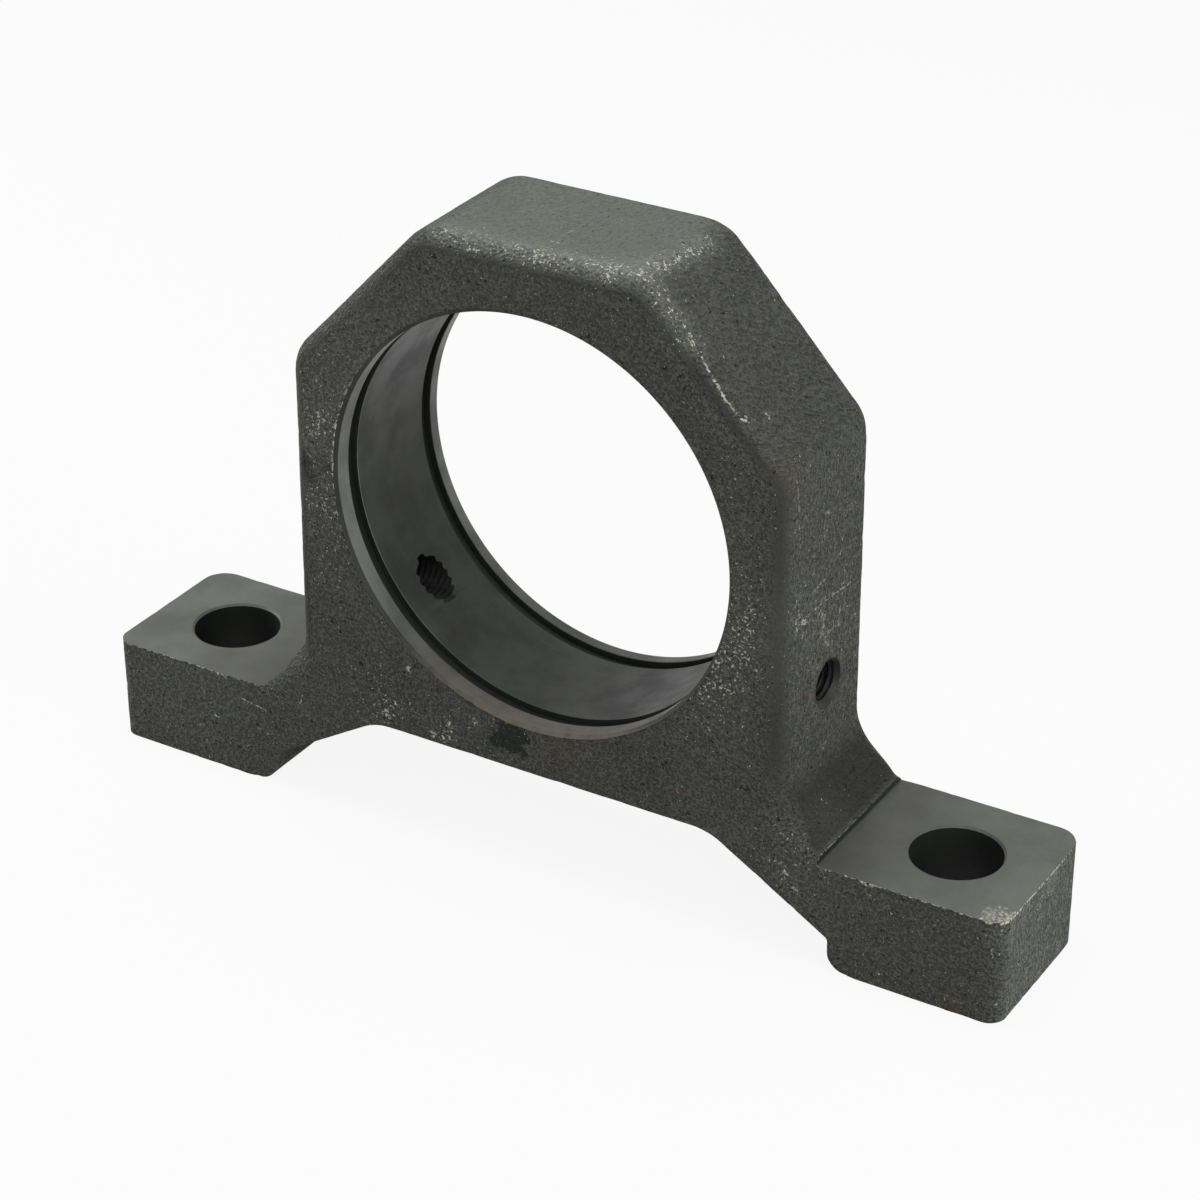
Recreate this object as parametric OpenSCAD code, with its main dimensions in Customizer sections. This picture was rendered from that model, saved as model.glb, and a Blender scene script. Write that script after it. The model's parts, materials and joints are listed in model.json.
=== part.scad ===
// Driveshaft center support bearing housing: one iron casting, machined where it seats, bolts and seals.
// X runs along the feet, Y along the shaft, Z is up. The origin is the middle of the machined base.
// The front is the -Y side.

/* [Ring] */
// Height of the bore axis above the base
axis_h = 105.7; // [102:0.1:125]
// Height of the top face above the bore axis
ring_top = 77; // [74:0.5:90]
// Width across the two upright sides, at their upper ends
ring_w = 149.8; // [144:0.2:170]
// How much each upright side moves outward on its way down
side_draft = 0.5; // [0:0.1:1.5]
// Width of the flat on top
top_flat = 65.6; // [50:0.2:90]
// Height of the upper ends of the sides above the bore axis
side_top = 32; // [24:0.5:40]
// Thickness of the casting, front face to rear face
depth = 49.5; // [44:0.5:70]
// Radius of the corners between the top and the slanted faces
top_corner_r = 15; // [8:0.5:24]
// Radius of the corners between the slanted faces and the sides
side_corner_r = 13; // [8:0.5:24]
// Rounding of the long edges of the ring
ring_edge_r = 6; // [2:0.25:7]

/* [Bore] */
// Diameter of the bore that holds the bearing
bore_d = 120; // [80:0.5:122]
// Width of the seat between the two ring grooves
seat_w = 31.25; // [20:0.25:34]
// How far the middle of the seat lies behind the middle of the casting
seat_shift = 1.05; // [-1.5:0.05:1.5]
// Width of each retaining ring groove
groove_w = 4.15; // [1.5:0.05:4.5]
// Depth of each retaining ring groove
groove_depth = 2; // [1:0.1:3]
// Chamfer at the front mouth of the bore
front_chamfer = 1; // [0.2:0.1:2]
// Chamfer at the rear mouth of the bore
rear_chamfer = 0.6; // [0.2:0.1:2]

/* [Feet] */
// Length over both feet
length = 282.4; // [268:0.5:320]
// Height of the machined bolt pads above the base
pad_h = 31.1; // [26:0.1:33]
// Distance between the two steps where the machined pads begin
pad_gap = 174; // [172:0.5:180]
// How far the unmachined casting stands above the pads
pad_stock = 1.5; // [0.3:0.1:2.5]
// Distance between the two places where the flares reach the feet
toe_gap = 172; // [164:0.2:173]
// Slope of the flares from the level
flare_angle = 48; // [38:1:60]
// Radius between the upright sides and the flares
flare_top_r = 9; // [3:0.5:14]
// Radius between the flares and the feet
flare_toe_r = 3; // [1:0.25:5]
// Rounding of the long edges of the flares
flare_edge_r = 3.5; // [1:0.25:6]
// Rounding of the long upper edges of the feet, before the pads are cut
foot_edge_r = 2.5; // [1:0.25:3.5]
// Radius of the front upright corners of the feet
front_corner_r = 5; // [1:0.25:8]
// Radius of the rear upright corners of the feet
rear_corner_r = 7; // [1:0.25:10]
// Distance between the two bolt holes
bolt_span = 231.8; // [224:0.2:240]
// Diameter of the bolt holes
bolt_d = 25; // [13:0.5:28]
// Chamfer at both ends of the bolt holes
bolt_chamfer = 0.6; // [0.2:0.1:2]

/* [Underside] */
// Height of the arch between the feet
arch_h = 30.6; // [24:0.2:34]
// Distance between the two places where the arch starts to slope down
arch_flat = 105.8; // [90:0.2:118]
// How far the arch lies to the right of the bore, as it was cast
arch_shift = 2.2; // [0:0.1:4]
// Slope of the underside from the level
slope_angle = 31; // [28:0.5:33]
// Distance between the inner walls of the feet
foot_gap = 177.7; // [172:0.2:182]
// Radius between the flat and the sloping parts of the arch
arch_r = 18; // [4:0.5:30]
// Radius of the inner lower corners of the feet
heel_r = 5.5; // [3:0.25:8]
// Radius of the nooks where the slopes meet the inner walls
nook_r = 1.5; // [0.5:0.25:3]
// Rounding of the long edges of the arch
arch_edge_r = 2; // [0.5:0.25:2.5]
// Rounding of the edges round the machined base
base_edge_r = 0.8; // [0.2:0.1:2]

/* [Side ports] */
// Thread size of the tapped ports
port_thread_d = 12; // [6:0.5:18]
// Pitch of the thread, which is also how much smaller the drilled hole is
port_pitch = 1.75; // [1:0.25:2.5]
// How far the countersink on each port stands out past the thread, all round
port_mouth_rim = 0.85; // [0.1:0.05:2]
// Depth of the right port below the bore axis
right_port_drop = 37.2; // [34:0.1:42]
// Depth of the left port below the bore axis
left_port_drop = 38.7; // [34:0.1:42]
// How far the right port lies behind the middle of the casting
right_port_shift = 3; // [-4:0.1:4]
// How far the left port lies behind the middle of the casting
left_port_shift = -0.3; // [-4:0.1:4]

/* [Hidden] */
$fn = 96;
// Steps that approximate a quarter of a rounded edge
edge_steps = 4;
// Largest turn of the outline between two of its points, in degrees
arc_step = 8;
// Overshoot of the cutting tools past the surfaces that they leave
over = 1;
iron = "dimgray";
half_depth = depth / 2;
toe_h = pad_h + pad_stock;
foot_end = length / 2;
flare_side_x = ring_w / 2 + side_draft;
flare_foot_h = toe_h + (toe_gap / 2 - flare_side_x) * tan(flare_angle);
nook_h = arch_h - (foot_gap - arch_flat) / 2 * tan(slope_angle);
port_d = port_thread_d - port_pitch;
port_mouth_d = port_thread_d + 2 * port_mouth_rim;

// One corner of the outline: its sharp point, its radius, and the edge rounding on the stretch after it.
// side is 1 for the right half and -1 for the left, where x is mirrored but the arch's shift isn't.
function half_outline(side) = [
    [top_flat / 2, axis_h + ring_top, top_corner_r, ring_edge_r],
    [ring_w / 2, axis_h + side_top, side_corner_r, ring_edge_r],
    [flare_side_x, flare_foot_h, flare_top_r, flare_edge_r],
    [toe_gap / 2, toe_h, flare_toe_r, foot_edge_r],
    [foot_end, toe_h, foot_edge_r, base_edge_r],
    [foot_end, 0, base_edge_r, base_edge_r],
    [foot_gap / 2 + side * arch_shift, 0, heel_r, arch_edge_r],
    [foot_gap / 2 + side * arch_shift, nook_h, nook_r, arch_edge_r],
    [arch_flat / 2 + side * arch_shift, arch_h, arch_r, arch_edge_r]
];
// The left half is walked backward, so each stretch there takes its rounding from the corner before.
function backward(half) = [
    for (i = [len(half) - 1:-1:0])
        [-half[i][0], half[i][1], half[i][2], i > 0 ? half[i - 1][3] : ring_edge_r]
];
corners = concat(half_outline(1), backward(half_outline(-1)));
count = len(corners);

function spot(i) = let (c = corners[(i + count) % count]) [c[0], c[1]];
function unit(v) = v / norm(v);
// Direction of the stretch that follows corner i
function heading(i) = unit(spot(i + 1) - spot(i));
function turn_to_right(v) = [v[1], -v[0]];
// Turn of the outline at corner i in degrees, above zero where the casting is convex
function turn_at(i) =
    let (a = heading(i - 1), b = heading(i)) -asin(a[0] * b[1] - a[1] * b[0]);
function edge_after(i) = corners[(i + count) % count][3];

// Points around corner i. Each is [x, z, outward x, outward z, edge rounding].
function corner_points(i) =
    let (
        a = heading(i - 1),
        turn = turn_at(i),
        r = corners[i][2],
        reach = r * tan(abs(turn) / 2),
        side = turn > 0 ? 1 : -1,
        centre = spot(i) - reach * a + side * r * turn_to_right(a),
        first = -turn_to_right(a),
        steps = max(2, ceil(abs(turn) / arc_step)),
        limit = turn > 0 ? 0.8 * r : r + max(edge_after(i - 1), edge_after(i)),
        e0 = min(limit, edge_after(i - 1)),
        e1 = min(limit, edge_after(i))
    )
    [
        for (k = [0:steps])
            let (
                t = k / steps,
                n = [
                    first[0] * cos(t * turn) + first[1] * sin(t * turn),
                    first[1] * cos(t * turn) - first[0] * sin(t * turn)
                ],
                p = centre + side * r * n
            )
                [p[0], p[1], n[0], n[1], e0 + (e1 - e0) * (1 - cos(180 * t)) / 2]
    ];
outline = [for (i = [0:count - 1]) each corner_points(i)];

// One closed ring of points round the casting. The edge is followed from its side, at 0, to its face, at 1.
function skin_ring(face, t) = [
    for (p = outline)
        let (e = p[4], inward = e * (1 - cos(90 * t)), past = half_depth - e + e * sin(90 * t))
            [p[0] - inward * p[2], face * past, p[1] - inward * p[3]]
];

// Twice the area of a triangle, above zero where its corners run counter-clockwise
function signed_area(a, b, c) = (b[0] - a[0]) * (c[1] - a[1]) - (b[1] - a[1]) * (c[0] - a[0]);
function in_triangle(p, a, b, c) =
    signed_area(a, b, p) >= 0 && signed_area(b, c, p) >= 0 && signed_area(c, a, p) >= 0;
// Whether the corner at place k of the list ids can be cut off the polygon as a triangle
function is_ear(pts, ids, k) =
    let (
        n = len(ids),
        i = ids[(k + n - 1) % n],
        j = ids[k],
        l = ids[(k + 1) % n]
    )
        signed_area(pts[i], pts[j], pts[l]) > 0
        && len([for (m = ids) if (m != i && m != j && m != l && in_triangle(pts[m], pts[i], pts[j], pts[l])) m]) == 0;
function first_ear(pts, ids, k) = is_ear(pts, ids, k % len(ids)) ? k % len(ids) : first_ear(pts, ids, k + 1);
// Splits a counter-clockwise polygon into triangles by cutting off one ear after another
function triangles(pts, ids, k = 0) =
    len(ids) == 3 ? [ids] :
    let (n = len(ids), e = first_ear(pts, ids, k))
        concat(
            [[ids[(e + n - 1) % n], ids[e], ids[(e + 1) % n]]],
            triangles(pts, [for (m = [0:n - 1]) if (m != e) ids[m]], e + 1)
        );

// The raw casting: the outline carried through the depth, with both of its long edges rounded.
module casting() {
    rings = concat(
        [for (k = [edge_steps:-1:0]) skin_ring(-1, k / edge_steps)],
        [for (k = [0:edge_steps]) skin_ring(1, k / edge_steps)]
    );
    around = len(outline);
    cap = triangles([for (p = rings[0]) [p[0], p[2]]], [for (i = [around - 1:-1:0]) i]);
    rear = (len(rings) - 1) * around;
    caps = [for (t = cap) each [[t[2], t[1], t[0]], [t[0] + rear, t[1] + rear, t[2] + rear]]];
    walls = [
        for (j = [0:len(rings) - 2], i = [0:around - 1])
            let (a = j * around + i, b = j * around + (i + 1) % around)
                each [[a, b + around, b], [a, a + around, b + around]]
    ];
    polyhedron(points = [for (ring = rings) each ring], faces = concat(caps, walls));
}

// A cylinder along Y that starts at y and is len long
module along_y(y, len, r1, r2) {
    translate([0, y, axis_h]) rotate([-90, 0, 0]) cylinder(h = len, r1 = r1, r2 = r2);
}

// The bore with its chamfered mouths and its two grooves
module bore_cut() {
    r = bore_d / 2;
    along_y(-half_depth - over, depth + 2 * over, r, r);
    along_y(-half_depth - over, over + front_chamfer, r + front_chamfer + over, r);
    along_y(half_depth - rear_chamfer, over + rear_chamfer, r, r + rear_chamfer + over);
    for (y = [seat_shift - seat_w / 2 - groove_w, seat_shift + seat_w / 2])
        along_y(y, groove_w, r + groove_depth, r + groove_depth);
}

// A tapped port from the right side face into the bore, at shift behind the middle and drop below the axis.
// Its thread is drawn as the drilled hole.
module port_cut(shift, drop) {
    mouth_depth = (port_mouth_d - port_d) / 2;
    translate([0, shift, axis_h - drop]) rotate([0, 90, 0]) {
        cylinder(h = foot_end, d = port_d);
        translate([0, 0, flare_side_x - mouth_depth])
            cylinder(h = mouth_depth + over, d1 = port_d, d2 = port_mouth_d + 2 * over);
    }
}

// A bolt hole through the right foot
module bolt_cut() {
    r = bolt_d / 2;
    c = bolt_chamfer;
    translate([bolt_span / 2, 0, 0]) {
        translate([0, 0, -over]) cylinder(h = pad_h + 2 * over, r = r);
        translate([0, 0, -over]) cylinder(h = c + over, r1 = r + c + over, r2 = r);
        translate([0, 0, pad_h - c]) cylinder(h = c + over, r1 = r, r2 = r + c + over);
    }
}

// The milled pad on top of the right foot
module pad_cut() {
    translate([pad_gap / 2, -half_depth - over, pad_h])
        cube([foot_end - pad_gap / 2 + over, depth + 2 * over, pad_stock + over]);
}

// What rounds one upright corner of a foot, for the corner at +X and +Y
module upright_corner(r) {
    translate([foot_end - r, half_depth - r, -over])
        difference() {
            cube([r + over, r + over, toe_h + 2 * over]);
            translate([0, 0, -over]) cylinder(h = toe_h + 4 * over, r = r);
        }
}

module right_foot_cuts() {
    bolt_cut();
    pad_cut();
    upright_corner(rear_corner_r);
    mirror([0, 1, 0]) upright_corner(front_corner_r);
}

module bearing_housing() {
    color(iron) difference() {
        casting();
        bore_cut();
        right_foot_cuts();
        mirror([1, 0, 0]) right_foot_cuts();
        port_cut(right_port_shift, right_port_drop);
        mirror([1, 0, 0]) port_cut(left_port_shift, left_port_drop);
    }
}

bearing_housing();
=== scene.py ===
import json
import math

import bpy
import numpy as np
from bpy.props import FloatProperty, FloatVectorProperty, IntProperty, PointerProperty
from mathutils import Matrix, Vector, geometry


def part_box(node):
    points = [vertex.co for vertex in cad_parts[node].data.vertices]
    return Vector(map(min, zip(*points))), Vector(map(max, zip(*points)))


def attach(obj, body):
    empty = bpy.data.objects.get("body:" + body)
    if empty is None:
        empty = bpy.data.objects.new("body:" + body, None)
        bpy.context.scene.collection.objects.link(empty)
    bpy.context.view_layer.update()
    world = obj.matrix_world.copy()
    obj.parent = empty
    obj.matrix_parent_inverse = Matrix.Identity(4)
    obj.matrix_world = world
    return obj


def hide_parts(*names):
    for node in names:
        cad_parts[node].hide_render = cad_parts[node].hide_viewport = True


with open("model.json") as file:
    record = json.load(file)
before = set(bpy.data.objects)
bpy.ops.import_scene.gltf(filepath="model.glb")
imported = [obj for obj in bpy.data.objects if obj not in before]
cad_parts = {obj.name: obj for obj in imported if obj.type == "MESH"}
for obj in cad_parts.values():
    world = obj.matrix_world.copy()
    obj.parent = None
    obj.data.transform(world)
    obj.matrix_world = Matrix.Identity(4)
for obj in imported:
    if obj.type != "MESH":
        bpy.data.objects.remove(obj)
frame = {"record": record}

bl_info = {
    "name": "Bearing housing",
    "version": (1, 0, 0),
    "blender": (4, 5, 0),
    "location": "3D View > Sidebar > Housing",
    "description": "A sand cast driveshaft bearing housing with its machined faces",
    "category": "Add Mesh",
}

MM = 0.001
NODE = "bearing_housing"
LOW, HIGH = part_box(NODE)
MOUNTS = {m["name"]: m for m in frame["record"]["mounts"]}
BORE, GROOVE, BOLTS, PORT, PAD = (
    MOUNTS[name] for name in ("bearing_bore", "front_ring_groove", "foot_bolts", "right_port", "right_pad")
)
TAU = 2 * math.pi
# Points round the bore and each bolt hole, points across a rounded edge, and parts a large grid is cut in.
BORE_STEPS = 288
BOLT_STEPS = 144
EDGE_STEPS = 9
GRID_PARTS = 40
# The front face, the right side and the top of the ring, in millimetres. Marks and hollows lie on them.
FRONT = -24.7
SIDE = 75.1
TOP = 182.7


def size(name, metres, about):
    """A length that the sidebar shows in the scene's units."""
    return FloatProperty(name=name, description=about, default=metres, unit="LENGTH", precision=5)


def slope(name, degrees, about):
    return FloatProperty(name=name, description=about, default=math.radians(degrees), unit="ROTATION")


def share(name, value, about):
    return FloatProperty(name=name, description=about, default=value, min=0, max=1, subtype="FACTOR")


def power(name, watts, about):
    return FloatProperty(name=name, description=about, default=watts, min=0, unit="POWER")


def colour(name, rgb, about):
    return FloatVectorProperty(
        name=name, description=about, default=rgb, min=0, max=1, size=3, subtype="COLOR"
    )


class CastingSizes(bpy.types.PropertyGroup):
    """The raw casting, as it comes out of the sand"""

    axis_height: size("Axis height", BORE["pos_m"][2], "Height of the bore axis above the base")
    top: size("Top", HIGH.z, "Height of the top face above the base")
    length: size("Length", HIGH.x - LOW.x, "Length over both feet")
    depth: size("Depth", HIGH.y - LOW.y, "Thickness from the front face to the rear face")
    top_flat: size("Top flat", 65.6 * MM, "Width of the flat on top")
    side_top: size("Side top", 32 * MM, "Height of the upper ends of the sides above the axis")
    ring_width: size("Ring width", 149.8 * MM, "Width across the two upright sides")
    side_draft: size("Side draft", 0.5 * MM, "How much each side moves outward on its way down")
    top_corner: size("Top corner", 15 * MM, "Radius between the top and the slanted faces")
    side_corner: size("Side corner", 13 * MM, "Radius between the slanted faces and the sides")
    ring_edge: size("Ring edge", 6.5 * MM, "Rounding of the front edges of the ring")
    rear_edge: size("Rear edge", 5.5 * MM, "Rounding of the rear edges of the ring")
    right_edge: size("Right edge", 8.5 * MM, "Rounding of the front edge where the right flare begins")
    left_edge: size("Left edge", 5.5 * MM, "Rounding of the front edge where the left flare begins")
    toe_edge: size("Toe edge", 3.2 * MM, "Rounding of the edges where the flares reach the feet")
    flare_top: size("Flare top", 15 * MM, "Radius between the sides and the flares")
    toe_radius: size("Toe radius", 3 * MM, "Radius between the flares and the feet")
    flare_angle: slope("Flare angle", 51, "Slope of the flares from the level")
    toe_gap: size("Toe gap", 174 * MM, "Distance between the places where the flares reach the feet")
    toe_height: size("Toe height", PAD["pos_m"][2] + 1.5 * MM, "Height of the unmachined feet")
    front_corner: size("Front corner", 5 * MM, "Radius of the front upright corners of the feet")
    rear_corner: size("Rear corner", 7 * MM, "Radius of the rear upright corners of the feet")
    stock: size("Stock", 8 * MM, "What the casting has to spare above the pads and below the base")
    arch_height: size("Arch height", 30.6 * MM, "Height of the arch between the feet")
    arch_flat: size("Arch flat", 105.8 * MM, "Width of the level part of the arch")
    arch_shift: size("Arch shift", 2.2 * MM, "How far the arch lies to the right of the bore")
    arch_angle: slope("Arch angle", 31, "Slope of the underside from the level")
    foot_gap: size("Foot gap", 177.7 * MM, "Distance between the inner walls of the feet")
    arch_radius: size("Arch radius", 18 * MM, "Radius between the level and the sloping parts")
    heel_radius: size("Heel radius", 5.5 * MM, "Radius of the inner lower corners of the feet")
    nook_radius: size("Nook radius", 1.5 * MM, "Radius where the slopes meet the inner walls")
    arch_edge: size("Arch edge", 1.4 * MM, "Rounding of the long edges of the arch")


class MachiningSizes(bpy.types.PropertyGroup):
    """What is bored, drilled, tapped and milled after casting"""

    bore_radius: size("Bore radius", BORE["dims"]["r_mm"] * MM, "Radius of the seat for the bearing")
    seat_width: size("Seat width", BORE["dims"]["length_mm"] * MM, "Width between the two grooves")
    seat_shift: size("Seat shift", BORE["pos_m"][1], "How far the seat lies behind the middle")
    groove_width: size("Groove width", GROOVE["dims"]["length_mm"] * MM, "Width of each ring groove")
    groove_radius: size("Groove radius", GROOVE["dims"]["r_mm"] * MM, "Radius of each ring groove")
    front_chamfer: size("Front chamfer", 1 * MM, "Chamfer at the front mouth of the bore")
    rear_chamfer: size("Rear chamfer", 0.6 * MM, "Chamfer at the rear mouth of the bore")
    edge_break: size("Edge break", 0.15 * MM, "Broken edge along the grooves")
    pad_height: size("Pad height", PAD["pos_m"][2], "Height of the milled pads above the base")
    right_step: size("Right step", 87.6 * MM, "Distance from the bore axis to the right pad's step")
    left_step: size("Left step", 90.9 * MM, "Distance from the bore axis to the middle of the left step")
    left_skew: slope("Left skew", 12, "How far the left step is turned from square")
    left_round: size("Left round", 6 * MM, "Radius that the cutter left at the front end of the left step")
    round_inset: size("Round inset", 0.6 * MM, "Distance of that round's corner behind the front face")
    overrun: size("Overrun", 5 * MM, "How far the cutter runs past the casting")
    bolt_span: size("Bolt span", BOLTS["dims"]["spacing_x_mm"] * MM, "Distance between the bolt holes")
    bolt_radius: size("Bolt hole", BOLTS["dims"]["hole_r_mm"] * MM, "Radius of the bolt holes")
    bolt_chamfer: size("Bolt chamfer", 0.6 * MM, "Chamfer at both ends of the bolt holes")
    port_radius: size("Port radius", PORT["dims"]["r_mm"] * MM, "Drilled radius of the ports")
    port_pitch: size("Port pitch", 1.75 * MM, "Pitch of the thread in the ports")
    thread_depth: size("Thread depth", 0.9 * MM, "Depth of the thread in the ports")
    port_mouth: size("Port mouth", 7.1 * MM, "Radius of the countersink on each port")


class SkinSettings(bpy.types.PropertyGroup):
    """The surface that the sand left, and how finely it is meshed"""

    spacing: size("Spacing", 1.1 * MM, "Distance between the points of the skin")
    swell: size("Swell", 0.06 * MM, "Height of the broad unevenness of the faces")
    lumps: size("Lumps", 0.04 * MM, "Height of the lumps of a few millimetres")
    grit: size("Grit", 0.05 * MM, "Height of the finest modelled grain")
    pit_depth: size("Pit depth", 0.12 * MM, "Depth of the modelled pits")
    sunk: share("Sunk", 0.4, "Part of the unevenness by which the skin is lowered, to keep to its box")
    seed: IntProperty(name="Seed", description="Start of the random numbers", default=7, min=0)


class FinishSettings(bpy.types.PropertyGroup):
    """Colours of the surfaces"""

    # skin, skin_pale and skin_dark paint shade and highlight into the grain: hollows darker and pits near
    # black as painted shade, raised grain paler as a painted highlight.
    skin: colour("Skin", (0.061, 0.064, 0.057), "Hollows in the grain of the cast skin")
    skin_pale: colour("Pale skin", (0.110, 0.114, 0.102), "Raised grain of the cast skin")
    skin_dark: colour("Dark skin", (0.012, 0.013, 0.011), "Pits of the cast skin")
    # bare is worn bare iron, and also paints glints among the specks.
    bare: colour("Bare iron", (0.60, 0.58, 0.50), "Worn specks where bare iron shows")
    rust: colour("Rust", (0.11, 0.070, 0.042), "Faint rust")
    fresh_rust: colour("Fresh rust", (0.42, 0.20, 0.10), "Small spots of fresh rust")
    pad: colour("Pad", (0.097, 0.101, 0.090), "Milled pads")
    seat: colour("Seat", (0.036, 0.040, 0.035), "Bored seat")
    land: colour("Land", (0.162, 0.169, 0.160), "Lands beside the grooves")
    grime: colour("Grime", (0.135, 0.122, 0.100), "Brown film at the bottom of the bore's front mouth")
    chamfer: colour("Chamfer", (0.034, 0.036, 0.032), "Chamfers of the bore")
    # groove also darkens the walls of the pads' steps, as painted shade.
    groove: colour("Groove", (0.018, 0.021, 0.017), "Ring grooves and the steps of the pads")
    hole: colour("Hole", (0.012, 0.014, 0.012), "Walls of the bolt holes and the countersinks of the ports")
    # thread is near black as painted shade inside the ports.
    thread: colour("Thread", (0.004, 0.005, 0.004), "Threads of the ports")


class StageSettings(bpy.types.PropertyGroup):
    """Camera, lamps and floor"""

    target: FloatVectorProperty(
        name="Target",
        description="Point that the camera looks at",
        default=(7.54 * MM, 0, 75.11 * MM),
        subtype="TRANSLATION",
        unit="LENGTH",
    )
    distance: size("Distance", 904.9 * MM, "Distance from the camera to its target")
    azimuth: slope("Azimuth", 31.17, "Turn of the camera to the right of the front")
    elevation: slope("Elevation", 29.25, "Height of the camera above the level")
    roll: slope("Roll", -0.1, "Turn of the camera about its own axis")
    lens: FloatProperty(name="Lens", description="Focal length in millimetres", default=101.14)
    ambient: FloatProperty(name="Ambient", description="Strength of the light from all round", default=0.25)
    overhead: power("Overhead", 9.5, "Power of the overhead lamp")
    right: power("Right", 5.9, "Power of the lamp on the right")
    left: power("Left", 8.6, "Power of the lamp on the left")
    front: power("Front", 2.8, "Power of the lamp in front")
    floor: colour("Floor", (0.62, 0.62, 0.61), "Colour of the floor")


def mesh_object(name, points, faces, finishes=(), face_finish=None):
    """A mesh object from points and arrays of faces, turned so that its signed volume is above zero."""
    mesh = bpy.data.meshes.new(name)
    mesh.from_pydata(points.tolist(), [], [face for group in faces for face in group.tolist()])
    mesh.calc_loop_triangles()
    corners = np.empty(len(mesh.loop_triangles) * 3, np.int32)
    mesh.loop_triangles.foreach_get("vertices", corners)
    a, b, c = points[corners.reshape(-1, 3)].transpose(1, 0, 2)
    if np.einsum("ij,ij->", a, np.cross(b, c)) < 0:
        mesh.flip_normals()
    for finish in finishes:
        mesh.materials.append(finish)
    if face_finish is not None:
        mesh.polygons.foreach_set("material_index", face_finish.astype(np.int32))
    piece = bpy.data.objects.new(name, mesh)
    bpy.context.scene.collection.objects.link(piece)
    return piece


def grid_faces(rows, columns):
    """Quads between neighbouring rows of a grid whose columns close into a ring."""
    row, column = np.mgrid[0 : rows - 1, 0:columns]
    beside = (column + 1) % columns
    start = row * columns
    quads = [start + column, start + beside, start + columns + beside, start + columns + column]
    return np.stack(quads, -1).reshape(-1, 4)


def rounded_outline(corners, faces, spacing):
    """Walks a clockwise outline whose corners are arcs, at most spacing apart.

    A row of corners is x, z, radius, and then values that hold round the corner and blend by smoothstep
    along the straights. A row of faces has values that hold along the straight after the corner, and blend
    round the corners. Round a corner the point is centre + radius * normal, with the normal turning evenly.
    Returns the points, their outward normals, and both kinds of values.
    """
    corners, faces = np.array(corners, float), np.array(faces, float)
    ahead = np.roll(corners[:, :2], -1, 0) - corners[:, :2]
    ahead /= np.linalg.norm(ahead, axis=1)[:, None]
    before = np.roll(ahead, 1, 0)
    turn = -np.arctan2(before[:, 0] * ahead[:, 1] - before[:, 1] * ahead[:, 0], (before * ahead).sum(1))
    reach = (corners[:, 2] * np.tan(abs(turn) / 2))[:, None]
    first, last = corners[:, :2] - reach * before, corners[:, :2] + reach * ahead
    parts = []
    for i, bend in enumerate(turn):
        following = (i + 1) % len(turn)
        radius = corners[i, 2]
        steps = max(2, math.ceil(abs(bend) / 0.12), math.ceil(radius * abs(bend) / spacing))
        t = np.linspace(0, 1, steps + 1)[:, None]
        out = np.array([-before[i, 1], before[i, 0]])
        normal = out * np.cos(t * bend) + before[i] * np.sin(t * bend)
        side = math.copysign(radius, bend)
        held = np.repeat(corners[i : i + 1, 3:], steps + 1, 0)
        blended = faces[i - 1] + (faces[i] - faces[i - 1]) * t * t * (3 - 2 * t)
        parts.append((first[i] + side * (normal - out), normal, held, blended))
        run = first[following] - last[i]
        steps = max(2, math.ceil(np.linalg.norm(run) / spacing))
        t = np.linspace(0, 1, steps + 1)[1:-1, None]
        change = corners[following, 3:] - corners[i, 3:]
        blended = corners[i, 3:] + change * t * t * (3 - 2 * t)
        held = np.repeat(faces[i : i + 1], steps - 1, 0)
        parts.append((last[i] + t * run, np.repeat(normal[-1:], steps - 1, 0), blended, held))
    return [np.concatenate(part) for part in zip(*parts)]


# How each face of the raw casting looks: how pale it is beside the front face, partly the skin's own tone
# and partly painted light and shade for how the face is turned to the lamps, with the flare darkened as
# painted shade beside the ring, how coarse its grain is, and whether its wrinkles run upright instead of
# along the depth.
FACES = {
    "top": (1.34, 0.28, 0),
    "slant": (0.74, 0.7, 0),
    "side": (1.1, 1.0, 1),
    "flare": (0.33, 0.3, 0),
    "foot": (1.0, 0.6, 0),
    "end": (1.65, 1.0, 1),
    "base": (1.0, 0.6, 0),
    "heel": (1.0, 0.6, 1),
    "slope": (1.0, 0.7, 0),
    "arch": (1.0, 0.7, 0),
}


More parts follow.
